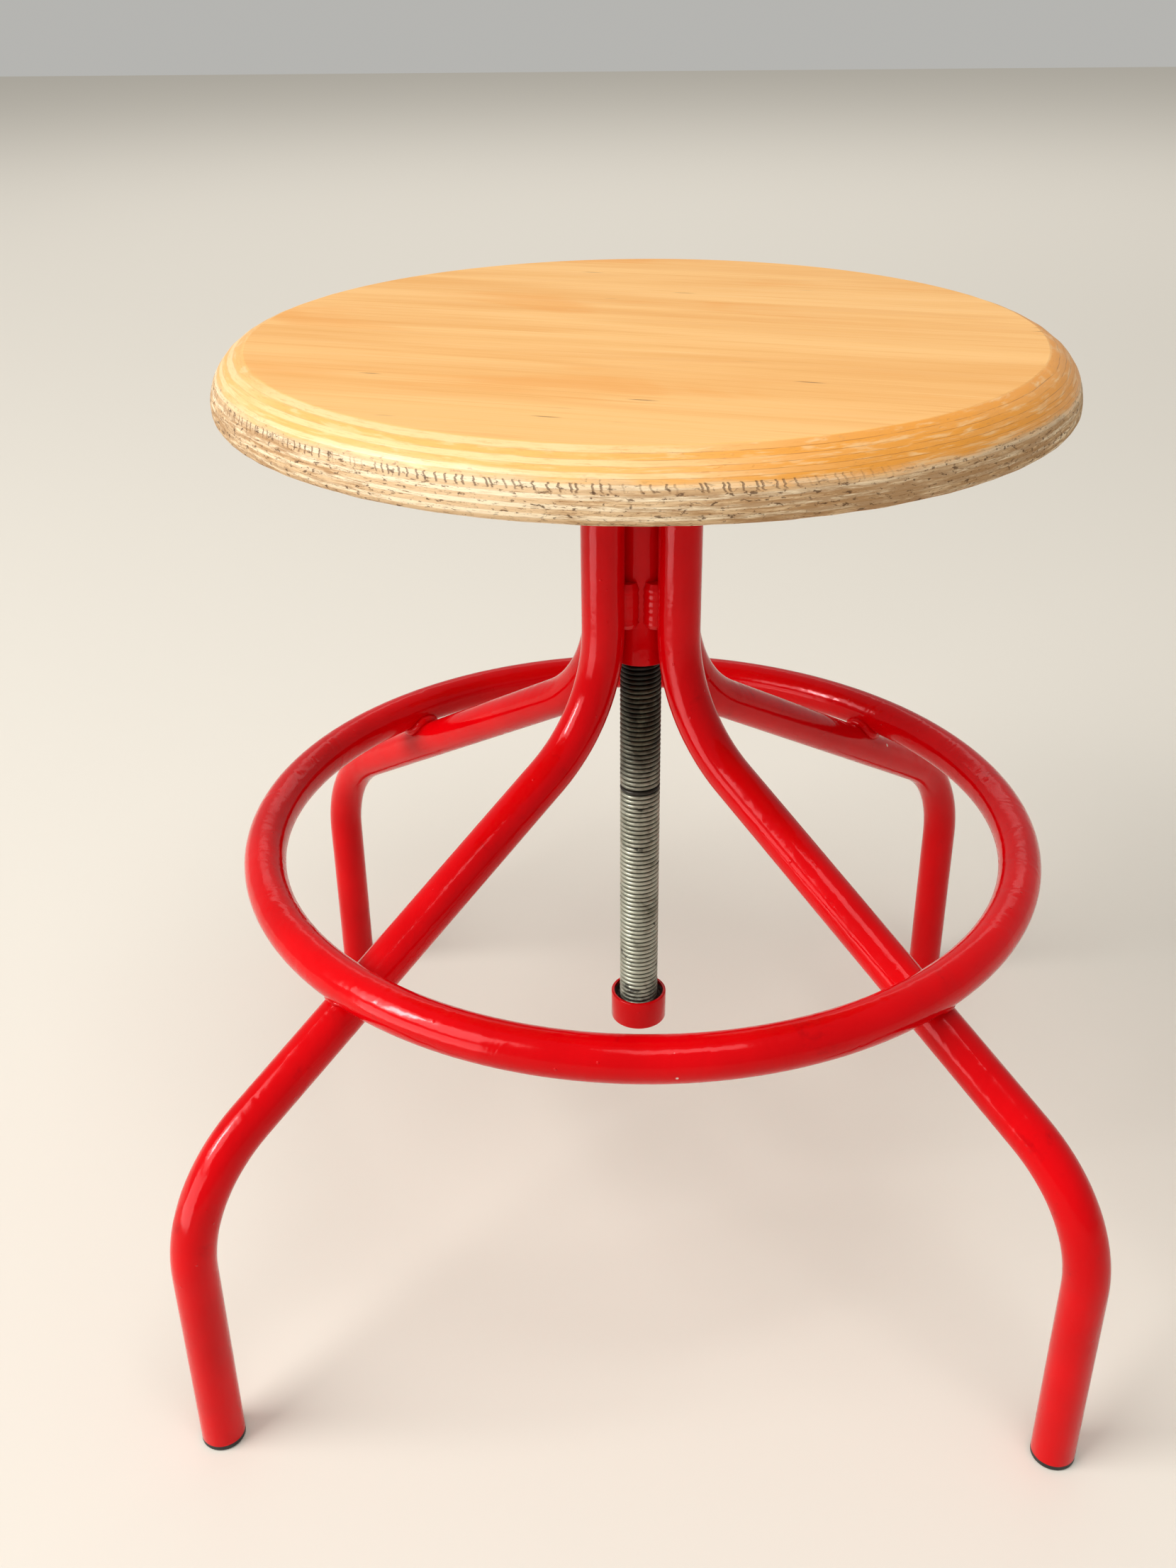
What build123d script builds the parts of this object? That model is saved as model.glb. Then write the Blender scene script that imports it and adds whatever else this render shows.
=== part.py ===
from build123d import *
import math
import os

# A workshop stool with a round plywood seat on a screw spindle. Millimetres, +Z up, origin on
# the floor under the spindle. The front is -Y, and the seat is shown screwed right down.

# ------------------------------------------------------------------ driving sizes
SEAT_HEIGHT = 465.0          # top of the seat above the floor at its lowest
SEAT_RADIUS = 184.0
SEAT_THICKNESS = 24.0
SEAT_ROUNDING = 15.5         # width of the rounded edge outside the flat top
SEAT_SIDE = 4.0              # straight side plus bottom rounding, below the rounded edge
SEAT_BOTTOM_ROUND = 3.0

TUBE_RADIUS = 10.0           # legs and foot ring
TUBE_WALL = 1.5
BEND_RADIUS = 74.0           # centreline, both bends of a leg
FOOT_REACH = 271.5           # spindle axis to the axis of a leg at the floor
UPPER_BEND_Z = 292.0         # where the upright and the sloping centrelines of a leg cross
KNEE_Z = 146.5               # where the sloping and the lower upright centrelines cross
RING_RADIUS = 186.0          # centreline of the foot ring

NUT_WALL = 3.0               # spindle crest to the bore of the hub tube
NUT_HEIGHT = 26.0
NUT_DROP = 7.0               # top of the nut below the top of the hub tube
GUIDE_HEIGHT = 16.0
BUSH_LEAD = 1.0              # chamfer at both ends of a bush's bore
HUB_WALL = 1.5
HUB_BOTTOM = 314.0
HUB_STAND = 8.0              # hub tube above the tops of the legs
HUB_WELD_LOW, HUB_WELD_HIGH = 334.0, 356.0
HUB_BEAD_RADIUS = 6.0        # round the line where a leg comes nearest to the hub
HUB_BEAD_SLIT = 4.0          # that line itself stays open by this width
RING_BEAD_RADIUS = 9.5       # round the point where the foot ring lies on a leg
RING_BEAD_HOLLOW = 3.0       # radius of the open root at that point

SPINDLE_RADIUS = 10.0        # M20
THREAD_PITCH = 2.5
THREAD_DEPTH = 1.53
LIFT_TURNS = 78              # whole turns from the lowest seat to the highest
THREAD_RUNOUT = 12.0         # plain rod under the flange
COLLAR_HEIGHT = 16.0

FLANGE_RADIUS = 60.0
FLANGE_THICKNESS = 4.0
SCREW_CIRCLE = 46.0
SCREW_COUNT = 4
SCREW_RADIUS = 2.25
SCREW_LENGTH = 22.0

PLUG_RIM = 3.0               # part of a foot plug that shows under the tube
PLUG_STEM = 16.0
PLUG_STEM_WALL = 2.3
PLUG_FIN_COUNT, PLUG_FIN_SPACING, PLUG_FIN_DEPTH = 3, 4.5, 1.1

# ------------------------------------------------------------------ fits
RUNNING_CLEARANCE = 0.1      # spindle crest to the bores of the nut and the guide bush
STOP_GAP = 0.5               # flange above the hub at the lowest, collar below it at the highest
ROOT_GAP = 0.1               # between welded tubes, bridged by the bead
PLUG_CLEARANCE = 0.1         # plug fins to the tube bore
COLLAR_CLEARANCE = 0.1       # collar weld to the spindle
SCREW_HOLE_CLEARANCE = 0.5   # screw shank to its hole in the flange

# ------------------------------------------------------------------ worked-out places
SEAT_BOTTOM = SEAT_HEIGHT - SEAT_THICKNESS
FLANGE_BOTTOM = SEAT_BOTTOM - FLANGE_THICKNESS
HUB_TOP = FLANGE_BOTTOM - STOP_GAP
HUB_BORE = SPINDLE_RADIUS + NUT_WALL
HUB_RADIUS = HUB_BORE + HUB_WALL
LEG_TOP = HUB_TOP - HUB_STAND
LEG_OFFSET = HUB_RADIUS + ROOT_GAP + TUBE_RADIUS
LIFT = LIFT_TURNS * THREAD_PITCH
COLLAR_TOP = HUB_BOTTOM - LIFT - STOP_GAP
COLLAR_BOTTOM = COLLAR_TOP - COLLAR_HEIGHT
SLOPE = math.atan2(UPPER_BEND_Z - KNEE_Z, FOOT_REACH - LEG_OFFSET)
RING_Z = (
    UPPER_BEND_Z
    - (RING_RADIUS - LEG_OFFSET) * math.tan(SLOPE)
    + (2 * TUBE_RADIUS + ROOT_GAP) / math.cos(SLOPE)
)
LEGS = {"front_left": 225, "front_right": 315, "rear_right": 45, "rear_left": 135}


def leg_rod(radius):
    """One leg's round bar of the given radius, in the XZ plane."""
    path = FilletPolyline(
        (LEG_OFFSET, 0, LEG_TOP),
        (LEG_OFFSET, 0, UPPER_BEND_Z),
        (FOOT_REACH, 0, KNEE_Z),
        (FOOT_REACH, 0, PLUG_RIM),
        radius=BEND_RADIUS,
    )
    return sweep(Plane((LEG_OFFSET, 0, LEG_TOP), z_dir=(0, 0, -1)) * Circle(radius), path)


def leg():
    return leg_rod(TUBE_RADIUS) - leg_rod(TUBE_RADIUS - TUBE_WALL)


def foot_ring(radius=TUBE_RADIUS, bore=TUBE_RADIUS - TUBE_WALL):
    return Pos(0, 0, RING_Z) * (Torus(RING_RADIUS, radius) - Torus(RING_RADIUS, bore))


def tube(outer, inner, low, high):
    """An upright tube about Z between two heights."""
    ring = Circle(outer) - Circle(inner)
    return Pos(0, 0, low) * extrude(ring, high - low)


def turned(*points):
    """A solid turned about Z from (radius, height) points."""
    return revolve(make_face(Polyline(*[(r, 0, z) for r, z in points], close=True)), Axis.Z)


def hub_tube():
    return tube(HUB_RADIUS, HUB_BORE, HUB_BOTTOM, HUB_TOP)


def bush(low, height):
    """A bush in the hub with a small lead-in chamfer at both ends of its bore."""
    bore, lead, high = SPINDLE_RADIUS + RUNNING_CLEARANCE, BUSH_LEAD, low + height
    return turned(
        (bore + lead, low), (HUB_BORE, low), (HUB_BORE, high),
        (bore + lead, high), (bore, high - lead), (bore, low + lead),
    )


def spindle_nut():
    return bush(HUB_TOP - NUT_DROP - NUT_HEIGHT, NUT_HEIGHT)


def guide_bush():
    return bush(HUB_BOTTOM, GUIDE_HEIGHT)


def foot_plug():
    """A cap under the tube with a hollow finned stem up its bore."""
    bore = TUBE_RADIUS - TUBE_WALL
    fin = bore - PLUG_CLEARANCE
    core = fin - PLUG_FIN_DEPTH
    hollow = core - PLUG_STEM_WALL
    rim = turned(
        (0, 0), (TUBE_RADIUS - 1.0, 0), (TUBE_RADIUS, 1.0), (TUBE_RADIUS, PLUG_RIM),
        (core, PLUG_RIM), (core, PLUG_RIM + PLUG_STEM), (hollow, PLUG_RIM + PLUG_STEM),
        (hollow, PLUG_RIM), (0, PLUG_RIM),
    )
    for step in range(PLUG_FIN_COUNT):
        low = PLUG_RIM + 3.0 + PLUG_FIN_SPACING * step
        rim += turned((core - 0.5, low), (fin, low), (core, low + 2.0), (core - 0.5, low + 2.0))
    return Pos(FOOT_REACH, 0, 0) * rim


def ring_weld():
    """The bead round the point where the foot ring lies on a leg, clear of the root itself."""
    lift = TUBE_RADIUS + ROOT_GAP / 2
    x = RING_RADIUS - lift * math.sin(SLOPE)
    z = RING_Z - lift * math.cos(SLOPE)
    root = Plane((x, 0, z), z_dir=(math.sin(SLOPE), 0, math.cos(SLOPE)))
    bead = root * Sphere(RING_BEAD_RADIUS) - root * Cylinder(RING_BEAD_HOLLOW, 3 * RING_BEAD_RADIUS)
    return bead - leg_rod(TUBE_RADIUS) - foot_ring(TUBE_RADIUS, 1.0)


def hub_weld():
    """Two upright beads, one in each notch between the hub and a leg."""
    height = HUB_WELD_HIGH - HUB_WELD_LOW
    middle = (HUB_WELD_HIGH + HUB_WELD_LOW) / 2
    bar = Cylinder(HUB_BEAD_RADIUS, height) - Box(2 * HUB_BEAD_RADIUS, HUB_BEAD_SLIT, height)
    bead = Pos(HUB_RADIUS, 0, middle) * bar
    return bead - tube(HUB_RADIUS, 1.0, HUB_BOTTOM, HUB_TOP) - leg_rod(TUBE_RADIUS)


def spindle():
    """The screwed rod, its thread drawn as rings one pitch apart, plain where it joins the flange."""
    root, crest = SPINDLE_RADIUS - THREAD_DEPTH, SPINDLE_RADIUS
    start, end = COLLAR_TOP - THREAD_PITCH, FLANGE_BOTTOM - THREAD_RUNOUT
    outline = [(0, COLLAR_BOTTOM), (crest - 1.0, COLLAR_BOTTOM), (crest, COLLAR_BOTTOM + 1.0)]
    for turn in range(int((end - start) / THREAD_PITCH)):
        low = start + turn * THREAD_PITCH
        for radius, share in ((crest, 0.0), (root, 0.3125), (root, 0.5625), (crest, 0.875)):
            outline.append((radius, low + share * THREAD_PITCH))
    return turned(*outline, (crest, SEAT_BOTTOM), (0, SEAT_BOTTOM))


def spindle_weld():
    """The fillet under the flange round the spindle."""
    return turned(
        (SPINDLE_RADIUS, FLANGE_BOTTOM), (SPINDLE_RADIUS, FLANGE_BOTTOM - 2.5),
        (SPINDLE_RADIUS + 1.0, FLANGE_BOTTOM - 1.9), (SPINDLE_RADIUS + 1.9, FLANGE_BOTTOM - 1.0),
        (SPINDLE_RADIUS + 2.5, FLANGE_BOTTOM),
    )


def stop_collar():
    return tube(HUB_RADIUS, HUB_BORE, COLLAR_BOTTOM, COLLAR_TOP)


def collar_weld():
    """The fill between the collar and the spindle, dished below the collar's rim."""
    bore = SPINDLE_RADIUS + COLLAR_CLEARANCE
    return turned(
        (bore, COLLAR_BOTTOM + 1.0), (HUB_BORE, COLLAR_BOTTOM + 1.0), (HUB_BORE, COLLAR_TOP - 2.0),
        ((bore + HUB_BORE) / 2, COLLAR_TOP - 4.0), (bore, COLLAR_TOP - 3.0),
    )


def on_screw_circle(shape):
    """The shape once at each screw."""
    step = 360 / SCREW_COUNT
    return [Rot(0, 0, step * n + step / 2) * Pos(SCREW_CIRCLE, 0, 0) * shape
            for n in range(SCREW_COUNT)]


def seat_flange():
    """The steel disc that carries the board, with the spindle's end through its middle."""
    hole = turned(*shank(FLANGE_BOTTOM, SEAT_BOTTOM, SCREW_RADIUS + SCREW_HOLE_CLEARANCE))
    return tube(FLANGE_RADIUS, SPINDLE_RADIUS, FLANGE_BOTTOM, SEAT_BOTTOM) - on_screw_circle(hole)


def shank(low, high, radius):
    return [(0, low), (radius, low), (radius, high), (0, high)]


def screw_tip(low):
    """Radius and height of a screw's shank and point from the given height up."""
    tip = FLANGE_BOTTOM + SCREW_LENGTH
    return [(SCREW_RADIUS, low), (SCREW_RADIUS, tip - 4.0), (0, tip)]


def seat_screws():
    """Pan-head wood screws driven up through the flange, with a crossed slot in each head."""
    seat = FLANGE_BOTTOM
    head = [(0, seat - 2.8), (2.5, seat - 2.6), (4.0, seat - 1.6), (4.5, seat - 0.4), (4.5, seat)]
    slot = Pos(0, 0, seat - 2.8) * (Box(4.6, 1.0, 2.4) + Box(1.0, 4.6, 2.4))
    return Part() + on_screw_circle(turned(*head, *screw_tip(seat)) - slot)


def seat_board():
    """A round board with a large rounded edge that meets the flat top in a crisp line."""
    shoulder = SEAT_BOTTOM + SEAT_SIDE
    rise, run = SEAT_HEIGHT - shoulder, SEAT_ROUNDING
    radius = (rise**2 + run**2) / (2 * run)
    half = math.asin(rise / radius) / 2
    middle = (SEAT_RADIUS - radius * (1 - math.cos(half)), 0, shoulder + radius * math.sin(half))
    flat, inner = SEAT_RADIUS - SEAT_ROUNDING, SEAT_RADIUS - SEAT_BOTTOM_ROUND
    low = SEAT_BOTTOM + SEAT_BOTTOM_ROUND
    inset = SEAT_BOTTOM_ROUND * (1 - math.sqrt(0.5))
    corner = (SEAT_RADIUS - inset, 0, SEAT_BOTTOM + inset)
    outline = [
        Line((0, 0, SEAT_BOTTOM), (inner, 0, SEAT_BOTTOM)),
        ThreePointArc((inner, 0, SEAT_BOTTOM), corner, (SEAT_RADIUS, 0, low)),
        Line((SEAT_RADIUS, 0, low), (SEAT_RADIUS, 0, shoulder)),
        ThreePointArc((SEAT_RADIUS, 0, shoulder), middle, (flat, 0, SEAT_HEIGHT)),
        Line((flat, 0, SEAT_HEIGHT), (0, 0, SEAT_HEIGHT)),
        Line((0, 0, SEAT_HEIGHT), (0, 0, SEAT_BOTTOM)),
    ]
    pilot = turned((0, SEAT_BOTTOM), *screw_tip(SEAT_BOTTOM))
    return revolve(make_face(outline), Axis.Z) - on_screw_circle(pilot)


# ------------------------------------------------------------------ pieces
pieces = {
    "foot_ring": foot_ring(),
    "hub_tube": hub_tube(),
    "spindle_nut": spindle_nut(),
    "guide_bush": guide_bush(),
    "spindle": spindle(),
    "spindle_weld": spindle_weld(),
    "stop_collar": stop_collar(),
    "collar_weld": collar_weld(),
    "seat_flange": seat_flange(),
    "seat_screws": seat_screws(),
    "seat_board": seat_board(),
}
at_each_leg = {"leg": leg(), "foot_plug": foot_plug(), "ring_weld": ring_weld(), "hub_weld": hub_weld()}
for name, shape in at_each_leg.items():
    for corner, azimuth in LEGS.items():
        pieces[f"{name}_{corner}"] = Rot(0, 0, azimuth) * shape

os.makedirs("parts", exist_ok=True)
for name, shape in pieces.items():
    export_step(shape, f"parts/{name}.step")
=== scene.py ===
import math

import bmesh
import bpy
from mathutils import Matrix, Vector, noise


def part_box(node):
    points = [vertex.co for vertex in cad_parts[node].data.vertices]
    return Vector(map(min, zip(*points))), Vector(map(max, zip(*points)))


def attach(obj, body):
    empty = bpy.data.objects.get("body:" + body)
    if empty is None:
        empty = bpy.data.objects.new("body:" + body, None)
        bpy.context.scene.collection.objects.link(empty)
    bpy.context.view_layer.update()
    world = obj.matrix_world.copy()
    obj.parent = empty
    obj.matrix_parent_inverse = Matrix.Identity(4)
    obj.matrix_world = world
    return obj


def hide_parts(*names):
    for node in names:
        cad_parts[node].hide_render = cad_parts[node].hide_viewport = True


# An adjustable swivel stool: plywood seat, screw spindle, red lacquered tube frame.
# Metres, +Z up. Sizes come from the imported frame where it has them.

MM = 0.001
NOISE_SEED = 7
noise.seed_set(NOISE_SEED)  # without it the vector noise starts from the clock
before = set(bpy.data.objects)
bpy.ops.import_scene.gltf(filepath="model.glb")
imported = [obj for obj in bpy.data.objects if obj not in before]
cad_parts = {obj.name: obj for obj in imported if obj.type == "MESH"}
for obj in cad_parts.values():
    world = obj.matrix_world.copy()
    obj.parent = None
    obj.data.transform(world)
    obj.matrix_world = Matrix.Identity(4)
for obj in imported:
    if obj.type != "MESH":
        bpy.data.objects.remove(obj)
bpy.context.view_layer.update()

# ------------------------------------------------------------------ sizes from the frame
ring_low, ring_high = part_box("foot_ring")
TUBE = (ring_high.z - ring_low.z) / 2
RING_RADIUS = ring_high.x - TUBE
RING_Z = (ring_high.z + ring_low.z) / 2

hub_low, hub_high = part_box("hub_tube")
HUB = hub_high.x
HUB_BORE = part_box("spindle_nut")[1].x

leg_low, leg_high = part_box("leg_rear_right")
LEG_GAP = 0.1 * MM
LEG_OFFSET = HUB + LEG_GAP + TUBE
FOOT_REACH = (leg_high.x - TUBE) * math.sqrt(2)
LEG_TOP, LEG_FOOT = leg_high.z, leg_low.z

board_low, board_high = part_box("seat_board")
SEAT_RADIUS = board_high.x
SEAT_TOP, SEAT_UNDER = board_high.z, board_low.z

flange_low, flange_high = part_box("seat_flange")
collar_low, collar_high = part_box("stop_collar")
spindle_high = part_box("spindle")[1]
SPINDLE = spindle_high.x

# ------------------------------------------------------------------ sizes the frame can't give
WALL = 1.5 * MM
BEND = 74.0 * MM
UPPER_BEND_Z = 292.0 * MM
KNEE_Z = 146.5 * MM
SEAT_FLAT = 168.5 * MM
SEAT_SIDE = 4.0 * MM
FLAT_RIM = 2.0 * MM
PITCH = 2.5 * MM
THREAD_DEPTH = 1.53 * MM
THREAD_SIDES = 40
THREAD_RUNOUT = 12.0 * MM
PLUG_STEM = 16.0 * MM
PLUG_WALL = 2.3 * MM
PLUG_EDGE = 1.2 * MM
PLUG_GAP = 1.2 * MM
PLY_PAIR = 3.3 * MM
GRAIN_TURN = 14.0

# heights at which the finish of the rod changes
BLACK_ABOVE = 296.0 * MM
DULL_ABOVE = 252.0 * MM
GREASE_RING = 243.5 * MM

# weld beads
BEAD_SIDES = 18
BEAD_SWELLS = (0.96, 1.0, 1.03)
BEAD_PLACES = 42
BEAD_RADIUS = 2.9 * MM
BEAD_REACH = 1.3 * MM
RING_GAP = 0.05 * MM
BEAD_STEP = 1.1 * MM
HUB_BEAD_RADIUS = 3.8 * MM
HUB_BEAD_ACROSS = 1.35
HUB_BEAD_LOW = 334.0 * MM
HUB_BEAD_HIGH = 356.0 * MM

SLOPE = math.atan2(UPPER_BEND_Z - KNEE_Z, FOOT_REACH - LEG_OFFSET)
LEG_TURN = math.pi / 2 - SLOPE
CORNERS = {
    "front_left": math.radians(225), "front_right": math.radians(315),
    "rear_right": math.radians(45), "rear_left": math.radians(135),
}


# ------------------------------------------------------------------ shaping
def points_of(geom):
    return [g for g in geom if isinstance(g, bmesh.types.BMVert)]


def edges_of(geom):
    return [g for g in geom if isinstance(g, bmesh.types.BMEdge)]


def edges_at(points):
    return list(dict.fromkeys(edge for point in points for edge in point.link_edges))


def spin(bm, geom, cent, axis, angle, steps, rise=0.0, merge=False):
    return bmesh.ops.spin(
        bm, geom=geom, cent=cent, axis=axis, dvec=(0, 0, rise), angle=angle,
        steps=steps, use_merge=merge, use_duplicate=False,
    )["geom_last"]


def settle(bm):
    """Seams and poles closed, faces outward."""
    bmesh.ops.remove_doubles(bm, verts=bm.verts, dist=1e-6)
    bmesh.ops.recalc_face_normals(bm, faces=bm.faces)


class Outline:
    """An outline in the XZ plane, drawn with a moving pen and then turned about Z."""

    def __init__(self, x, z):
        self.bm = bmesh.new()
        self.first = self.pen = self.bm.verts.new((x, 0, z))

    def line(self, x, z, steps=1):
        start = self.pen.co.copy()
        for n in range(1, steps + 1):
            self.pen = bmesh.ops.extrude_vert_indiv(self.bm, verts=[self.pen])["verts"][0]
            self.pen.co = start.lerp((x, 0, z), n / steps)
        return self

    def arc(self, x, z, degrees, steps):
        """An arc about (x, z), positive from +X towards +Z."""
        last = spin(self.bm, [self.pen], (x, 0, z), (0, -1, 0), math.radians(degrees), steps)
        self.pen = points_of(last)[0]
        return self

    def close(self):
        self.bm.edges.new((self.pen, self.first))
        return self

    def turned(self, steps=72):
        outline = self.bm.verts[:] + self.bm.edges[:]
        spin(self.bm, outline, (0, 0, 0), (0, 0, 1), math.tau, steps, merge=True)
        settle(self.bm)
        return self.bm


class Bar:
    """A round skin in the XZ plane, drawn downwards from its start by pushing and bending."""

    def __init__(self, bm, radius, x, z, sides=44):
        self.bm, self.at, self.heading = bm, Vector((x, 0, z)), Vector((0, 0, -1))
        place = Matrix.Translation(self.at)
        hoop = bmesh.ops.create_circle(bm, segments=sides, radius=radius, matrix=place)["verts"]
        self.end = edges_at(hoop)

    def push(self, length, steps=1):
        for _ in range(steps):
            made = points_of(bmesh.ops.extrude_edge_only(self.bm, edges=self.end)["geom"])
            self.end = [edge for edge in edges_at(made) if all(v in made for v in edge.verts)]
            bmesh.ops.translate(self.bm, verts=made, vec=self.heading * length / steps)
        self.at += self.heading * length
        return self

    def bend(self, turn, radius, steps=18):
        """Turns the heading, positive from +X towards +Z."""
        side = math.copysign(1, turn)
        centre = self.at + Vector((-self.heading.z, 0, self.heading.x)) * side * radius
        ring = list(dict.fromkeys(point for edge in self.end for point in edge.verts))
        last = spin(self.bm, ring + self.end, centre, (0, -side, 0), abs(turn), steps)
        self.end = edges_of(last)
        swing = Matrix.Rotation(turn, 3, (0, -1, 0))
        self.heading = swing @ self.heading
        self.at = centre + swing @ (self.at - centre)
        return self


def place_facing(at, ahead, out):
    """A place at a point, its Z ahead and its X as near to out as it can be."""
    ahead = ahead.normalized()
    side = ahead.cross(out).normalized()
    place = Matrix((side.cross(ahead), side, ahead)).transposed().to_4x4()
    place.translation = at
    return place


def bead(bm, places, radius, closed=False, across=1.0):
    """A weld bead through the places, swollen once every three of them, thin at open ends."""
    last, hoops = len(places) - 1, []
    for n, place in enumerate(places):
        taper = 1.0 if closed else min(1.0, 0.75 + 0.12 * min(n, last - n))
        uneven = 1.0 + 0.08 * noise.noise(place.translation / (3 * MM))
        size = radius * taper * (BEAD_SWELLS[n % 3] * uneven)
        wide = place @ Matrix.Diagonal((1.0, across, 1.0, 1.0))
        hoop = bmesh.ops.create_circle(bm, segments=BEAD_SIDES, radius=size, matrix=wide)
        hoops.append(edges_at(hoop["verts"]))
    for a, b in zip(hoops, hoops[1:] + hoops[:1] * closed):
        bmesh.ops.bridge_loops(bm, edges=a + b)
    if not closed:
        for hoop in (hoops[0], hoops[-1]):
            bmesh.ops.edgeloop_fill(bm, edges=hoop)


def join(bm, other, count=1, step=(0, 0, 0)):
    """Adds another mesh to this one, once or a number of times, each a step further on."""
    spare = bpy.data.meshes.new("spare")
    other.to_mesh(spare)
    other.free()
    for _ in range(count):
        bm.from_mesh(spare)
        spare.transform(Matrix.Translation(step))
    bpy.data.meshes.remove(spare)


def roughen(bm, size, depth, reach):
    """Moves the points a little by smooth noise, as hand-laid or worn surfaces are."""
    for vert in bm.verts:
        if reach(vert.co):
            vert.co += noise.noise_vector(vert.co / size) * depth


def piece(bm, name, body, slot, finish, *nodes, sharp=35, turn=0.0):
    """The finished mesh as an object on its body, in place of its CAD nodes."""
    bmesh.ops.rotate(bm, verts=bm.verts, cent=(0, 0, 0), matrix=Matrix.Rotation(turn, 3, "Z"))
    bmesh.ops.recalc_face_normals(bm, faces=bm.faces)
    mesh = bpy.data.meshes.new(name)
    bm.to_mesh(mesh)
    bm.free()
    mesh.shade_smooth()
    mesh.set_sharp_from_angle(angle=math.radians(sharp))
    mesh.materials.append(finish)
    made = bpy.data.objects.new(name, mesh)
    bpy.context.scene.collection.objects.link(made)
    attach(made, body)
    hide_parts(*nodes)
    return made


# ------------------------------------------------------------------ finishes
class Finish:
    """A material with its shader, and short ways to add nodes to it."""

    def __init__(self, name, **values):
        self.material = bpy.data.materials.new(name)
        self.material.use_nodes = True
        self.tree = self.material.node_tree
        self.shader = self.tree.nodes["Principled BSDF"]
        for socket, value in values.items():
            self.shader.inputs[socket.replace("_", " ")].default_value = value
        self.at = self.add("ShaderNodeTexCoord").outputs["Object"]

    def add(self, kind, inputs=None, **settings):
        node = self.tree.nodes.new(kind)
        for key, value in settings.items():
            setattr(node, key, value)
        for socket, value in (inputs or {}).items():
            self.join(value, node.inputs[socket])
        return node

    def join(self, value, socket):
        if isinstance(value, bpy.types.NodeSocket):
            self.tree.links.new(value, socket)
        else:
            socket.default_value = value

    def noise(self, scale, detail=2.0, roughness=0.5, distortion=0.0, at=None):
        inputs = {"Vector": at or self.at, "Scale": scale, "Detail": detail,
                  "Roughness": roughness, "Distortion": distortion}
        return self.add("ShaderNodeTexNoise", inputs).outputs["Fac"]

    def cells(self, scale, output="Distance", at=None):
        inputs = {"Vector": at or self.at, "Scale": scale}
        return self.add("ShaderNodeTexVoronoi", inputs).outputs[output]

    def calc(self, operation, a, b=0.0, c=0.0):
        node = self.add("ShaderNodeMath", {0: a, 1: b, 2: c}, operation=operation)
        return node.outputs[0]

    def ease(self, value, low, high, start=0.0, end=1.0):
        """Start below low, end above high, and a smooth change between."""
        inputs = {"Value": value, "From Min": low, "From Max": high, "To Min": start, "To Max": end}
        node = self.add("ShaderNodeMapRange", inputs, interpolation_type="SMOOTHSTEP")
        return node.outputs["Result"]

    def mix(self, share, a, b):
        node = self.add("ShaderNodeMix", {0: share, 6: a, 7: b}, data_type="RGBA")
        return node.outputs[2]

    def stretch(self, x=1.0, y=1.0, z=1.0, turn=0.0):
        """Object coordinates turned about Z by degrees, then stretched."""
        rotation = (0, 0, math.radians(turn))
        turned = self.add("ShaderNodeMapping", {"Vector": self.at, "Rotation": rotation})
        scaled = {"Vector": turned.outputs[0], "Scale": (x, y, z)}
        return self.add("ShaderNodeMapping", scaled).outputs[0]

    def parts(self, vector=None):
        return self.add("ShaderNodeSeparateXYZ", {0: vector or self.at}).outputs

    def colour(self, value):
        self.join(value, self.shader.inputs["Base Color"])

    def rough(self, value):
        self.join(value, self.shader.inputs["Roughness"])

    def bump(self, *heights):
        """Bumps, each a height and its depth in metres, one over the other."""
        normal = None
        for height, depth in heights:
            inputs = {"Height": height, "Distance": depth, "Strength": 1.0}
            if normal:
                inputs["Normal"] = normal
            normal = self.add("ShaderNodeBump", inputs).outputs["Normal"]
        self.tree.links.new(normal, self.shader.inputs["Normal"])


def rgb(red, green, blue):
    """A shader colour from screen values of 0 to 255."""
    def linear(c):
        c /= 255
        return c / 12.92 if c <= 0.04045 else ((c + 0.055) / 1.055) ** 2.4
    return (linear(red), linear(green), linear(blue), 1.0)


def lacquer():
    """Thick glossy red lacquer with orange peel, sags, dust nibs, and a few pale spots that are
    chips and painted glints.
    """
    tint = (1.0, 0.45, 0.48, 1.0)
    paint = Finish("red_lacquer", Specular_IOR_Level=0.25, Specular_Tint=tint)
    depth = paint.noise(14.0, 3.0, 0.55)
    base = paint.mix(paint.ease(depth, 0.35, 0.65), rgb(198, 0, 6), rgb(212, 1, 9))
    grime = paint.noise(38.0, 5.0, 0.7, 0.4)
    base = paint.mix(paint.ease(grime, 0.60, 0.78, 0.0, 0.45), base, rgb(128, 0, 8))

    def spots(scale, inner, outer, channel, chance):
        """Round spots in a few of the cells."""
        spot = paint.ease(paint.cells(scale), inner, outer, 1.0, 0.0)
        lucky = paint.parts(paint.cells(scale, "Color"))[channel]
        return paint.calc("MULTIPLY", spot, paint.ease(lucky, *chance))

    # pale pinkish spots: chips, and painted glints standing in for light caught on the paint
    chip_and_glint = spots(62.0, 0.045, 0.065, 0, (0.86, 0.87))
    base = paint.mix(chip_and_glint, base, rgb(232, 205, 196))
    nib = spots(150.0, 0.03, 0.12, 1, (0.80, 0.82))
    paint.colour(base)
    paint.rough(paint.ease(paint.noise(90.0, 4.0, 0.6), 0.3, 0.75, 0.08, 0.19))
    sag = paint.noise(48.0, 2.0, 0.5, 1.2, paint.stretch(1.0, 1.0, 0.45))
    peel = paint.noise(330.0, 2.0)
    paint.bump((sag, 0.45 * MM), (peel, 0.06 * MM), (nib, 0.18 * MM), (chip_and_glint, -0.12 * MM))
    return paint.material


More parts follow.
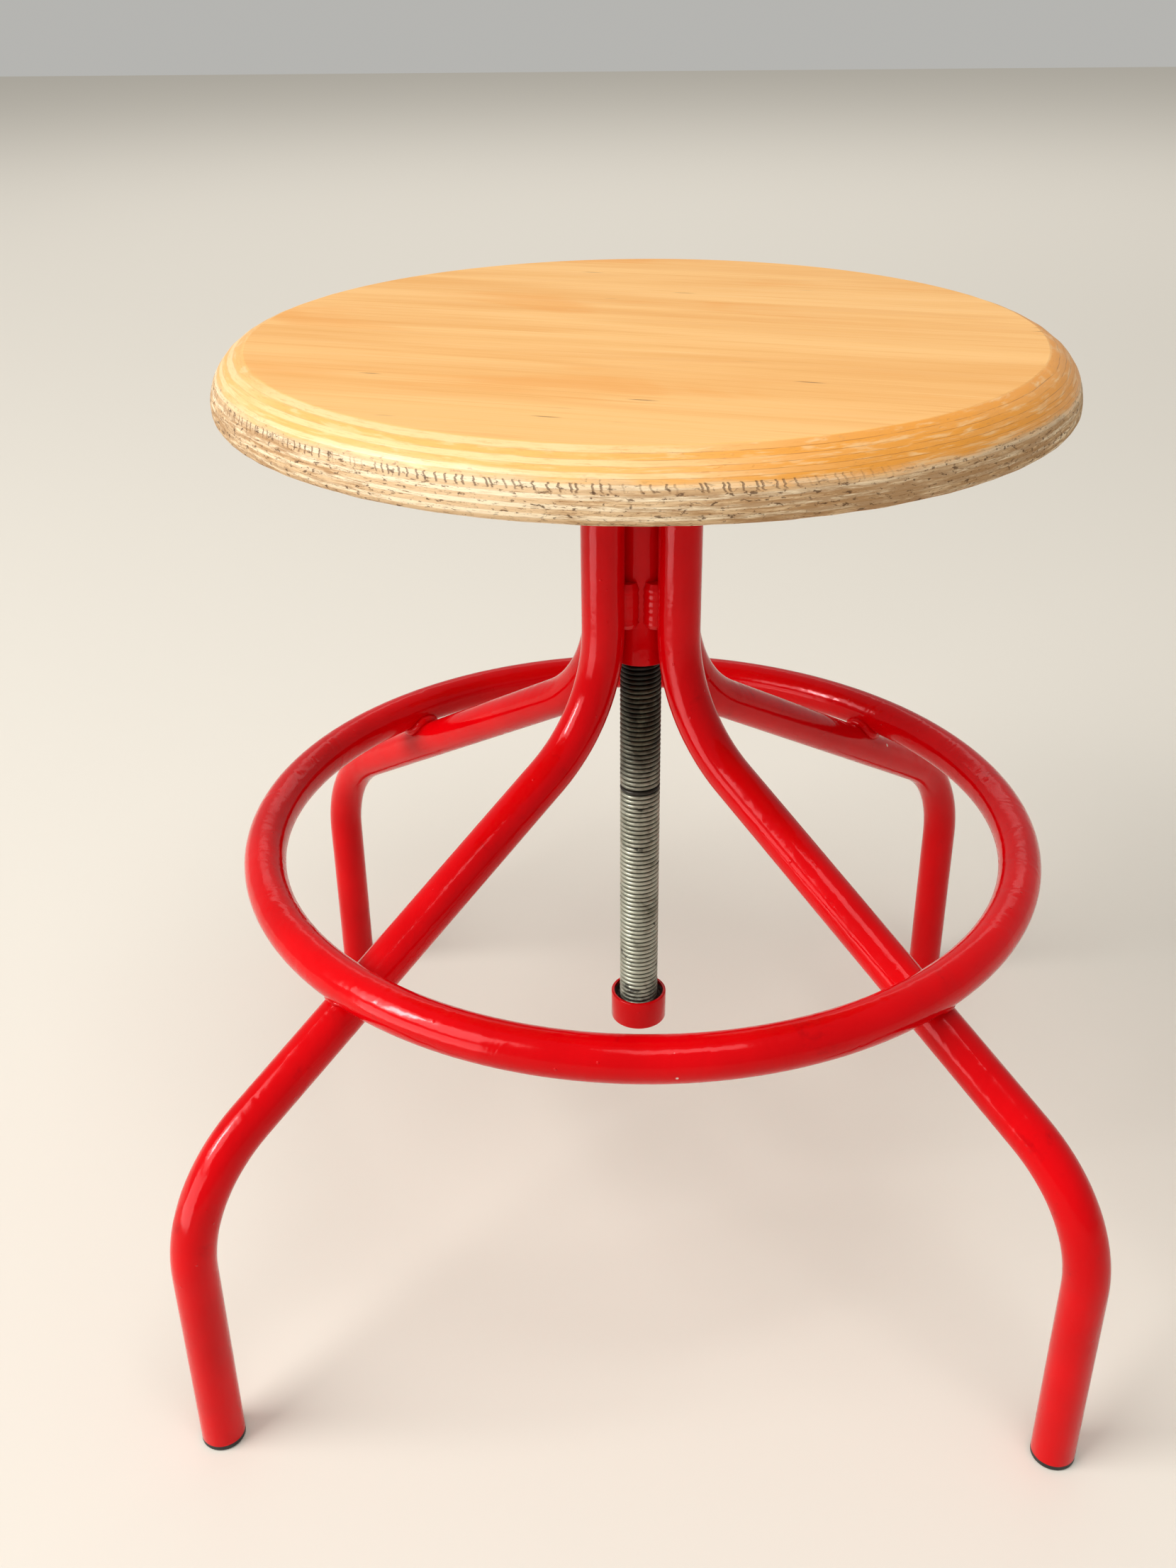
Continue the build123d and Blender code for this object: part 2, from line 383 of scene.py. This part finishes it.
def plywood():
    """Varnished veneer on top; plies round the edge, worn pale and dirty lower down; bare below."""
    wood = Finish("varnished_ply", Specular_IOR_Level=0.24)
    x, y, z = wood.parts()
    fine = wood.noise(9.0, 6.0, 0.62, 0.6, wood.stretch(1.3, 64.0, 8.0, GRAIN_TURN))
    top, fleck = veneer(wood, fine)
    edge, dullness, hollows = ply_edge(wood, x, y, z)
    under = wood.mix(wood.ease(fine, 0.4, 0.7), rgb(206, 168, 122), rgb(180, 138, 92))
    on_top = wood.ease(z, SEAT_TOP - 0.30 * MM, SEAT_TOP - 0.05 * MM)
    below = wood.ease(z, SEAT_UNDER + 0.10 * MM, SEAT_UNDER + 0.35 * MM, 1.0, 0.0)
    wood.colour(wood.mix(below, wood.mix(on_top, edge, top), under))
    shine = wood.ease(fine, 0.3, 0.7, 0.36, 0.46)
    wood.rough(wood.add("ShaderNodeMix", {0: on_top, 2: dullness, 3: shine}).outputs[0])
    hollows = wood.calc("MULTIPLY", hollows, wood.calc("SUBTRACT", 1.0, on_top))
    wood.bump((fine, 0.04 * MM), (fleck, -0.2 * MM), (hollows, -0.35 * MM))
    return wood.material


def veneer(wood, fine):
    """Soft fine grain with low broad streaks and a few dark flecks along it."""
    broad = wood.noise(4.0, 3.0, 0.5, 0.9, wood.stretch(0.8, 8.0, 4.0, GRAIN_TURN))
    colour = wood.mix(wood.ease(broad, 0.34, 0.66), rgb(242, 188, 114), rgb(232, 170, 90))
    colour = wood.mix(wood.ease(fine, 0.50, 0.78, 0.0, 0.50), colour, rgb(214, 142, 62))
    colour = wood.mix(wood.ease(fine, 0.42, 0.24, 0.0, 0.40), colour, rgb(244, 194, 122))
    cloud = wood.noise(9.0, 3.0, 0.5, 0.5, wood.stretch(1.0, 3.0, 1.0, GRAIN_TURN))
    colour = wood.mix(wood.ease(cloud, 0.56, 0.72, 0.0, 0.5), colour, rgb(231, 154, 60))
    cell = wood.stretch(36.0, 330.0, 60.0, GRAIN_TURN)
    chosen = wood.ease(wood.parts(wood.cells(1.0, "Color", at=cell))[0], 0.94, 0.95)
    patchy = wood.ease(wood.noise(16.0, 2.0), 0.44, 0.54)
    fleck = wood.ease(wood.cells(1.0, at=cell), 0.08, 0.28, 1.0, 0.0)
    fleck = wood.calc("MULTIPLY", wood.calc("MULTIPLY", fleck, chosen), patchy)
    return wood.mix(wood.calc("MULTIPLY", fleck, 0.7), colour, rgb(112, 76, 40)), fleck


def ply_edge(wood, x, y, z):
    """The plies round the edge by height: their colour, roughness and hollows."""
    around = wood.calc("ARCTAN2", y, x)
    arc = wood.calc("MULTIPLY", around, SEAT_RADIUS)

    def along(per_arc, per_height, detail=4.0, roughness=0.6):
        u, v = wood.calc("MULTIPLY", arc, per_arc), wood.calc("MULTIPLY", z, per_height)
        at = wood.add("ShaderNodeCombineXYZ", {0: u, 1: v}).outputs[0]
        return wood.noise(1.0, detail, roughness, 0.3, at)

    def facing_side(degrees):
        """1 on the side at that azimuth, -1 on the opposite one."""
        return wood.calc("COSINE", wood.calc("SUBTRACT", around, math.radians(degrees)))

    def band(value, low, high, soft):
        rise = wood.ease(value, low, low + soft)
        return wood.calc("MULTIPLY", rise, wood.ease(value, high - soft, high, 1.0, 0.0))

    # plies, whose grain runs with the edge or across it by turns
    waver = wood.calc("MULTIPLY_ADD", along(9.0, 12.0), 1.0 * MM, -0.5 * MM)
    depth = wood.calc("SUBTRACT", wood.calc("SUBTRACT", SEAT_TOP, z), waver)
    wave = wood.calc("SINE", wood.calc("MULTIPLY", depth, math.tau / PLY_PAIR))
    ply = wood.ease(wave, -0.45, 0.45)
    ends = wood.ease(wood.calc("ABSOLUTE", facing_side(-GRAIN_TURN)), 0.55, 0.85)
    pale = wood.calc("MULTIPLY_ADD", wood.calc("MULTIPLY_ADD", ply, -2.0, 1.0), ends, ply)
    glue = wood.ease(wood.calc("ABSOLUTE", wave), 0.04, 0.26, 1.0, 0.0)
    glue = wood.calc("MULTIPLY", glue, wood.ease(along(60.0, 300.0), 0.36, 0.60, 0.15, 1.0))
    fibre = along(110.0, 2600.0, 5.0, 0.65)

    # upper half still under varnish, lower half worn pale; the deeper orange on the right side is
    # painted shade
    side = wood.calc("DIVIDE", wood.calc("SUBTRACT", SEAT_TOP, z), SEAT_TOP - SEAT_UNDER)
    right = facing_side(-28.0)
    ragged = wood.calc("MULTIPLY_ADD", along(26.0, 160.0, 5.0, 0.65), 0.36, -0.18)
    lowness = wood.calc("ADD", side, ragged)
    lowness = wood.calc("MULTIPLY_ADD", wood.ease(right, 0.2, 0.9), -0.12, lowness)
    varnish_and_shade = wood.mix(pale, rgb(234, 178, 102), rgb(240, 202, 146))
    # painted shade: the right side, turned away from the light, is made a deeper orange
    varnish_and_shade = wood.mix(wood.ease(right, 0.30, 0.85, 0.0, 0.85), varnish_and_shade, rgb(230, 150, 44))
    varnish_and_shade = wood.mix(wood.ease(fibre, 0.48, 0.72, 0.0, 0.50), varnish_and_shade, rgb(216, 150, 78))
    rubbed = wood.ease(along(52.0, 620.0), 0.50, 0.66, 0.0, 0.55)
    varnish_and_shade = wood.mix(rubbed, varnish_and_shade, rgb(240, 206, 154))
    worn = wood.mix(pale, rgb(222, 190, 148), rgb(242, 222, 188))
    worn = wood.mix(wood.ease(fibre, 0.50, 0.70, 0.0, 0.55), worn, rgb(190, 146, 104))
    bare = wood.ease(lowness, 0.26, 0.46)
    colour = wood.mix(bare, varnish_and_shade, worn)
    glue = wood.calc("MULTIPLY", glue, wood.ease(right, 0.2, 0.8, 0.30, 0.62))
    colour = wood.mix(glue, colour, rgb(150, 98, 50))

    # pores and checks: dashes in rows, and one row of short upright ticks
    dash = wood.ease(along(330.0, 2400.0, 3.0), 0.585, 0.66)
    dash = wood.calc("MULTIPLY", dash, wood.ease(along(40.0, 420.0), 0.40, 0.60, 0.15, 1.0))
    dash = wood.calc("MULTIPLY", dash, wood.ease(lowness, 0.30, 0.52, 0.12, 0.85))
    colour = wood.mix(dash, colour, rgb(128, 92, 62))
    spacing = wood.calc("MULTIPLY_ADD", arc, 270.0, along(60.0, 500.0))
    slant = wood.calc("MULTIPLY_ADD", z, 120.0, spacing)
    settings = {"W": slant, "Scale": 1.0, "Randomness": 0.7}
    row = wood.add("ShaderNodeTexVoronoi", settings, voronoi_dimensions="1D")
    tick = wood.ease(row.outputs["Distance"], 0.06, 0.15, 1.0, 0.0)
    level = wood.calc("MULTIPLY_ADD", ragged, 0.12, side)
    tick = wood.calc("MULTIPLY", tick, band(level, 0.39, 0.53, 0.02))
    tick = wood.calc("MULTIPLY", tick, wood.ease(along(34.0, 10.0), 0.36, 0.50))
    tick = wood.calc("MULTIPLY", tick, wood.ease(facing_side(-125.0), 0.35, 0.75))
    colour = wood.mix(wood.calc("MULTIPLY", tick, 0.80), colour, rgb(110, 84, 62))

    # dirt rubbed into the lower plies, heaviest on the right
    smear = along(75.0, 900.0, 7.0, 0.72)
    on_right = wood.ease(right, 0.10, 0.75, 0.0, 0.20)
    on_left = wood.ease(facing_side(196.0), 0.50, 0.95, 0.0, 0.15)
    load = wood.calc("ADD", on_right, on_left)
    load = wood.calc("ADD", load, wood.calc("MULTIPLY_ADD", along(22.0, 120.0), 0.45, smear))
    dirt = wood.calc("MULTIPLY", wood.ease(load, 0.74, 0.98), wood.ease(lowness, 0.32, 0.52))
    colour = wood.mix(wood.calc("MULTIPLY", dirt, 0.78), colour, rgb(158, 114, 66))
    speck = wood.ease(along(300.0, 700.0, 4.0), 0.56, 0.66)
    speck = wood.calc("MULTIPLY", speck, wood.ease(load, 0.58, 0.80, 0.05, 0.9))
    colour = wood.mix(wood.calc("MULTIPLY", speck, bare), colour, rgb(92, 64, 40))
    marks = wood.calc("MAXIMUM", tick, dash)
    hollows = wood.calc("MAXIMUM", marks, wood.calc("MULTIPLY", smear, bare))
    return colour, wood.ease(lowness, 0.30, 0.55, 0.36, 0.78), hollows


def steel(name, clean, dirty, roughness):
    """Plain worked steel with a film of oil and dirt."""
    metal = Finish(name, Metallic=1.0)
    film = metal.noise(60.0, 5.0, 0.65, 0.5)
    metal.colour(metal.mix(metal.ease(film, 0.35, 0.65), clean, dirty))
    metal.rough(metal.ease(film, 0.3, 0.7, roughness, roughness + 0.25))
    metal.bump((metal.noise(700.0, 3.0), 0.04 * MM), (metal.noise(120.0, 3.0), 0.10 * MM))
    return metal.material


def spindle_steel():
    """The screw: black just below the hub, darker above, a dark ring, and worn grey lower down."""
    metal = Finish("spindle_steel", Metallic=0.4, Specular_IOR_Level=0.3)
    x, y, z = metal.parts()
    ripple = metal.calc("MULTIPLY_ADD", metal.noise(45.0, 4.0, 0.6), 0.05, -0.025)
    height = metal.calc("ADD", z, ripple)
    film = metal.noise(70.0, 5.0, 0.7, 0.8)
    worn = metal.mix(metal.ease(film, 0.40, 0.70), rgb(176, 180, 164), rgb(128, 130, 114))
    dull = metal.mix(metal.ease(film, 0.35, 0.62), rgb(96, 98, 82), rgb(48, 48, 38))
    colour = metal.mix(metal.ease(height, DULL_ABOVE - 30 * MM, DULL_ABOVE + 30 * MM), worn, dull)
    # the rod turns nearly black just below the hub
    black = metal.ease(height, BLACK_ABOVE - 14 * MM, BLACK_ABOVE + 8 * MM, 0.0, 0.85)
    colour = metal.mix(black, colour, rgb(22, 20, 15))
    ring = metal.calc("SUBTRACT", metal.calc("MULTIPLY_ADD", ripple, 0.04, z), GREASE_RING)
    ring = metal.ease(metal.calc("ABSOLUTE", ring), 1.0 * MM, 2.4 * MM, 0.9, 0.0)
    colour = metal.mix(ring, colour, rgb(24, 18, 13))
    smear = metal.noise(52.0, 5.0, 0.7, 0.6, metal.stretch(1.0, 1.0, 2.4))
    colour = metal.mix(metal.ease(smear, 0.60, 0.68, 0.0, 0.85), colour, rgb(30, 27, 22))
    low = metal.ease(z, collar_high.z, collar_high.z + 12 * MM, 0.7, 0.0)
    low = metal.calc("MULTIPLY", low, metal.ease(film, 0.35, 0.55))
    colour = metal.mix(low, colour, rgb(40, 33, 26))
    square = metal.calc("ADD", metal.calc("MULTIPLY", x, x), metal.calc("MULTIPLY", y, y))
    deep, shallow = SPINDLE - THREAD_DEPTH * 0.85, SPINDLE - THREAD_DEPTH * 0.22
    groove = metal.ease(metal.calc("SQRT", square), deep, shallow, 0.92, 0.0)
    metal.colour(metal.mix(groove, colour, rgb(28, 24, 19)))
    metal.rough(metal.ease(film, 0.3, 0.7, 0.34, 0.52))
    metal.bump((metal.noise(420.0, 4.0, 0.6), 0.10 * MM))
    return metal.material


def grease():
    """Old dark grease and weld spatter packed round the rod."""
    goo = Finish("collar_grease", Metallic=0.2, Coat_Weight=0.4, Coat_Roughness=0.2)
    lumps = goo.noise(420.0, 5.0, 0.7, 0.6)
    goo.colour(goo.mix(goo.ease(lumps, 0.5, 0.7), rgb(38, 20, 14), rgb(96, 44, 32)))
    goo.rough(goo.ease(lumps, 0.3, 0.7, 0.35, 0.75))
    goo.bump((lumps, 0.6 * MM))
    return goo.material


def plug_plastic():
    """Black moulded plastic, scuffed where it meets the floor."""
    plastic = Finish("black_plastic", Specular_IOR_Level=0.45)
    scuff = plastic.noise(260.0, 4.0, 0.7)
    plastic.colour(plastic.mix(plastic.ease(scuff, 0.52, 0.72), rgb(20, 19, 19), rgb(58, 54, 50)))
    plastic.rough(plastic.ease(scuff, 0.3, 0.7, 0.42, 0.66))
    plastic.bump((plastic.noise(900.0, 2.0), 0.03 * MM), (scuff, 0.06 * MM))
    return plastic.material


# ------------------------------------------------------------------ the frame
def leg():
    """One tube, bent out from the hub and down again to the floor, at azimuth 0."""
    bm = bmesh.new()
    flat = BEND * math.tan(LEG_TURN / 2)
    slope = math.hypot(UPPER_BEND_Z - KNEE_Z, FOOT_REACH - LEG_OFFSET) - 2 * flat
    bar = Bar(bm, TUBE, LEG_OFFSET, LEG_TOP)
    bar.push(LEG_TOP - UPPER_BEND_Z - flat, 4).bend(LEG_TURN, BEND)
    bar.push(slope, 6).bend(-LEG_TURN, BEND).push(KNEE_Z - flat - LEG_FOOT, 4)
    bmesh.ops.recalc_face_normals(bm, faces=bm.faces)
    bmesh.ops.solidify(bm, geom=bm.faces[:], thickness=WALL)
    return bm


def foot_plug():
    """A cap under a leg, with a hollow stem up its bore, at azimuth 0."""
    stem = TUBE - WALL - PLUG_GAP
    rim = LEG_FOOT
    cap = Outline(0, 0).line(TUBE - PLUG_EDGE, 0).arc(TUBE - PLUG_EDGE, PLUG_EDGE, 90, 5)
    cap.line(TUBE, rim).line(stem, rim).line(stem, rim + PLUG_STEM)
    cap.line(stem - PLUG_WALL, rim + PLUG_STEM).line(stem - PLUG_WALL, rim).line(0, rim)
    bm = cap.turned(44)
    bmesh.ops.translate(bm, verts=bm.verts, vec=(FOOT_REACH, 0, 0))
    return bm


def ring_bead():
    """The bead laid round the place where the foot ring lies on a leg, at azimuth 0."""
    bm = bmesh.new()
    along = Vector((-math.cos(SLOPE), 0, math.sin(SLOPE)))
    out = Vector((math.sin(SLOPE), 0, math.cos(SLOPE)))
    contact = Vector((RING_RADIUS, 0, RING_Z)) - out * (TUBE + RING_GAP)
    spare = 2 * ((TUBE + BEAD_REACH) ** 2 - TUBE ** 2)
    path = []
    for n in range(BEAD_PLACES):
        angle = math.tau * n / BEAD_PLACES
        saddle = (math.cos(2 * angle) / TUBE) ** 2 / 8
        width = spare
        if saddle * TUBE ** 2 > 1e-9:
            width = (math.sqrt(1 + 4 * saddle * spare) - 1) / (2 * saddle)
        wide = math.sqrt(width)
        lift = wide ** 2 * math.cos(2 * angle) / (4 * TUBE)
        flat = along * wide * math.cos(angle) + Vector((0, 1, 0)) * wide * math.sin(angle)
        path.append((contact + flat + out * lift, flat))
    places = []
    for n, (at, away) in enumerate(path):
        ahead = path[(n + 1) % BEAD_PLACES][0] - path[n - 1][0]
        places.append(place_facing(at, ahead, away))
    bead(bm, places, BEAD_RADIUS, closed=True)
    return bm


def hub_beads():
    """The two upright beads in the notches between the hub and a leg, at azimuth 0."""
    bm = bmesh.new()
    near, lean, proud = 1.2 * MM, 0.4 * MM, 1.0 * MM
    x = ((HUB + near) ** 2 - (TUBE + near) ** 2 + LEG_OFFSET ** 2) / (2 * LEG_OFFSET)
    y = math.sqrt((HUB + near) ** 2 - x ** 2)
    steps = round((HUB_BEAD_HIGH - HUB_BEAD_LOW) / BEAD_STEP)
    for side in (-1, 1):
        places = []
        for n in range(steps + 1):
            at = Vector((x - lean, side * (y + proud), HUB_BEAD_LOW + BEAD_STEP * n))
            places.append(place_facing(at, Vector((0, 0, 1)), Vector((0.2, side, 0))))
        bead(bm, places, HUB_BEAD_RADIUS, across=HUB_BEAD_ACROSS)
    return bm


def foot_ring():
    bm = bmesh.new()
    place = Matrix.Translation((RING_RADIUS, 0, RING_Z)) @ Matrix.Rotation(math.pi / 2, 4, "X")
    hoop = bmesh.ops.create_circle(bm, segments=44, radius=TUBE, matrix=place)["verts"]
    spin(bm, hoop + edges_at(hoop), (0, 0, 0), (0, 0, 1), math.tau, 192, merge=True)
    settle(bm)
    return bm


def short_tube(outer, inner, low, high, edge):
    """An upright tube about Z with both rims rounded on the outside."""
    tube = Outline(inner, low).line(outer - edge, low).arc(outer - edge, low + edge, 90, 4)
    tube.line(outer, high - edge).arc(outer - edge, high - edge, 90, 4)
    return tube.line(inner, high).close().turned(64)


# ------------------------------------------------------------------ the seat and its screw
def spindle():
    """A right-hand thread with worn round crests, cut flat at both ends, and a plain shank."""
    root, low, top = SPINDLE - THREAD_DEPTH, collar_low.z, flange_low.z - THREAD_RUNOUT
    thread = Outline(root, low - PITCH)
    for share, depth in ((0.04, 0.0), (0.12, 0.34), (0.21, 0.82), (0.34, 0.97), (0.50, 1.0),
                         (0.66, 0.97), (0.79, 0.82), (0.88, 0.34), (0.96, 0.0), (1.0, 0.0)):
        thread.line(root + THREAD_DEPTH * depth, low + (share - 1) * PITCH)
    outline = thread.bm.verts[:] + thread.bm.edges[:]
    rise = PITCH / THREAD_SIDES
    spin(thread.bm, outline, (0, 0, 0), (0, 0, 1), math.tau, THREAD_SIDES, rise=rise)
    bm, turns = bmesh.new(), round((top - low) / PITCH) + 2
    join(bm, thread.bm, turns, (0, 0, PITCH))
    settle(bm)
    for height, outward in ((low, -1), (top, 1)):
        cut = bmesh.ops.bisect_plane(
            bm, geom=bm.verts[:] + bm.edges[:] + bm.faces[:], dist=1e-7, plane_co=(0, 0, height),
            plane_no=(0, 0, outward), clear_outer=True,
        )["geom_cut"]
        bmesh.ops.edgeloop_fill(bm, edges=edges_of(cut))
    shank = Outline(0, top - 1 * MM).line(root + 0.4 * MM, top - 1 * MM)
    shank.line(SPINDLE - 0.5 * MM, top + 1 * MM).line(SPINDLE, top + 2 * MM)
    shank.line(SPINDLE, spindle_high.z).line(0, spindle_high.z)
    join(bm, shank.turned(THREAD_SIDES))
    return bm


def collar_fill():
    """Weld metal and old grease between the collar and the rod, dished and lumpy on top."""
    rod, wall = SPINDLE - 1.0 * MM, HUB_BORE + 0.2 * MM
    top, low = collar_high.z, collar_low.z + 1 * MM
    fill = Outline(rod, low).line(wall, low).line(wall, top - 1.8 * MM, 6)
    fill.line((rod + wall) / 2, top - 4.0 * MM, 4).line(rod, top - 2.6 * MM, 4).close()
    bm = fill.turned(72)
    roughen(bm, 1.6 * MM, 0.45 * MM, lambda co: co.z > top - 5 * MM and co.xy.length < HUB_BORE)
    return bm


def flange_fillet():
    size = 2.4 * MM
    fillet = Outline(SPINDLE, flange_low.z).line(SPINDLE, flange_low.z - size)
    fillet.arc(SPINDLE + size * 1.1, flange_low.z - size * 1.1, -84, 6)
    fillet.line(SPINDLE + size, flange_low.z).close()
    bm = fillet.turned(72)
    roughen(bm, 2.0 * MM, 0.18 * MM, lambda co: co.z < flange_low.z - 0.1 * MM)
    return bm


def flange():
    edge, radius, low, high = 0.8 * MM, flange_high.x, flange_low.z, flange_high.z
    plate = Outline(SPINDLE, low).line(radius - edge, low).arc(radius - edge, low + edge, 90, 4)
    plate.line(radius, high - edge).arc(radius - edge, high - edge, 90, 4)
    return plate.line(SPINDLE, high).close().turned(128)


def board():
    """A round board with a large rounded edge under a crisp arris."""
    shoulder = SEAT_UNDER + SEAT_SIDE
    rise, run = SEAT_TOP - shoulder, SEAT_RADIUS - SEAT_FLAT
    radius = (rise ** 2 + run ** 2) / (2 * run)
    sweep = math.degrees(math.asin(rise / radius))
    low = 3.0 * MM
    inset = SEAT_RADIUS - low
    edge = Outline(0, SEAT_UNDER).line(inset - FLAT_RIM, SEAT_UNDER).line(inset, SEAT_UNDER)
    edge.arc(inset, SEAT_UNDER + low, 90, 6).line(SEAT_RADIUS, shoulder)
    edge.arc(SEAT_RADIUS - radius, shoulder, sweep, 18)
    edge.line(SEAT_FLAT - FLAT_RIM, SEAT_TOP).line(0, SEAT_TOP)
    bm = edge.turned(288)
    worn = SEAT_FLAT + 1 * MM
    roughen(bm, 9 * MM, 0.22 * MM, lambda co: co.xy.length > worn and co.z > SEAT_UNDER + 0.1 * MM)
    return bm


# ------------------------------------------------------------------ assembly
red, black, ply = lacquer(), plug_plastic(), plywood()
dark = steel("dark_steel", rgb(74, 70, 66), rgb(40, 36, 32), 0.42)
zinc = steel("zinc_steel", rgb(176, 178, 174), rgb(120, 118, 108), 0.30)
oiled = steel("oiled_steel", rgb(110, 106, 98), rgb(56, 50, 42), 0.34)

for corner, turn in CORNERS.items():
    for shape, name, slot, finish, node in (
        (leg, "lacquered_leg", "red_lacquer", red, "leg"),
        (foot_plug, "floor_plug", "black_plastic", black, "foot_plug"),
        (ring_bead, "ring_bead", "red_lacquer", red, "ring_weld"),
        (hub_beads, "hub_beads", "red_lacquer", red, "hub_weld"),
    ):
        piece(shape(), f"{name}_{corner}", "base", slot, finish, f"{node}_{corner}", turn=turn)
piece(foot_ring(), "lacquered_ring", "base", "red_lacquer", red, "foot_ring")
hub = short_tube(HUB, HUB_BORE, hub_low.z, hub_high.z, 0.4 * MM)
piece(hub, "lacquered_hub", "base", "red_lacquer", red, "hub_tube")
collar = short_tube(collar_high.x, HUB_BORE, collar_low.z, collar_high.z, 0.6 * MM)
piece(collar, "lacquered_collar", "stop_collar", "red_lacquer", red, "stop_collar")
piece(collar_fill(), "collar_fill", "stop_collar", "dark_steel", grease(), "collar_weld", sharp=80)
piece(spindle(), "threaded_spindle", "seat", "oiled_steel", spindle_steel(), "spindle", sharp=50)
piece(flange_fillet(), "flange_fillet", "seat", "dark_steel", dark, "spindle_weld", sharp=80)
piece(flange(), "flange_plate", "seat", "dark_steel", dark, "seat_flange")
piece(board(), "plywood_board", "seat", "varnished_ply", ply, "seat_board", sharp=12)

for node, finish in (("spindle_nut", oiled), ("guide_bush", oiled), ("seat_screws", zinc)):
    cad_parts[node].data.materials.clear()
    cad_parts[node].data.materials.append(finish)


# ------------------------------------------------------------------ room, light and camera
FLOOR_REACH = 8.0
AIR_COLOUR, AIR_STRENGTH = (0.93, 0.92, 0.88, 1.0), 0.50
WARM, SOFT, CLEAR = (1.0, 0.97, 0.93), (1.0, 0.98, 0.95), (1.0, 0.98, 0.96)
MIDDLE = (0, 0, 0.25)
LENS, SENSOR = 35.6, 36.0
CAMERA_AT = (2.0 * MM, -676.6 * MM, 614.4 * MM)
LOOK_DOWN, LOOK_LEFT, LEAN = 28.72, 2.36, -0.66


def panel(name, centre, target, width, height, watts, colour, gloss_only=False):
    """A soft rectangular light at a point, facing another, or one that only shows in gloss."""
    light = bpy.data.lights.new(name, "AREA")
    light.shape, light.size, light.size_y = "RECTANGLE", width, height
    light.energy, light.color = watts, colour
    made = bpy.data.objects.new(name, light)
    bpy.context.scene.collection.objects.link(made)
    made.location = centre
    made.rotation_euler = (Vector(target) - Vector(centre)).to_track_quat("-Z", "Y").to_euler()
    made.visible_camera = False
    made.visible_diffuse = not gloss_only
    return made


def floor():
    bm = bmesh.new()
    bmesh.ops.create_grid(bm, x_segments=1, y_segments=1, size=FLOOR_REACH)
    mesh = bpy.data.meshes.new("floor")
    bm.to_mesh(mesh)
    bm.free()
    pale = rgb(228, 223, 214)
    ground = Finish("pale_floor", Base_Color=pale, Roughness=0.8, Specular_IOR_Level=0.0)
    mesh.materials.append(ground.material)
    made = bpy.data.objects.new("floor", mesh)
    bpy.context.scene.collection.objects.link(made)


floor()
scene = bpy.context.scene
scene.view_settings.view_transform = "Standard"
world = bpy.data.worlds.new("studio")
world.use_nodes = True
air = world.node_tree.nodes["Background"].inputs
air["Color"].default_value = AIR_COLOUR
air["Strength"].default_value = AIR_STRENGTH
scene.world = world
panel("window", (-2.85, -1.45, 2.6), MIDDLE, 2.8, 2.2, 150.0, WARM)
panel("bright_pane", (-1.93, -0.78, 1.62), MIDDLE, 0.28, 0.90, 58.0, CLEAR, gloss_only=True)
panel("low_window", (-0.62, -0.52, 0.20), (0, 0, 0.30), 0.50, 0.34, 3.0, WARM, gloss_only=True)
panel("ceiling", (0.3, -0.9, 2.3), MIDDLE, 0.9, 0.7, 12.0, SOFT)
panel("rear_wash", (0, 3.6, 2.6), (0, 4.4, 0), 5.0, 2.0, 36.0, SOFT)

lens = bpy.data.cameras.new("camera")
lens.sensor_width, lens.lens = SENSOR, LENS
camera = bpy.data.objects.new("camera", lens)
scene.collection.objects.link(camera)
camera.location = CAMERA_AT
tilt, yaw, roll = math.radians(90 - LOOK_DOWN), math.radians(LOOK_LEFT), math.radians(LEAN)
camera.rotation_euler = (
    Matrix.Rotation(yaw, 3, "Z") @ Matrix.Rotation(tilt, 3, "X") @ Matrix.Rotation(roll, 3, "Z")
).to_euler()
scene.camera = camera
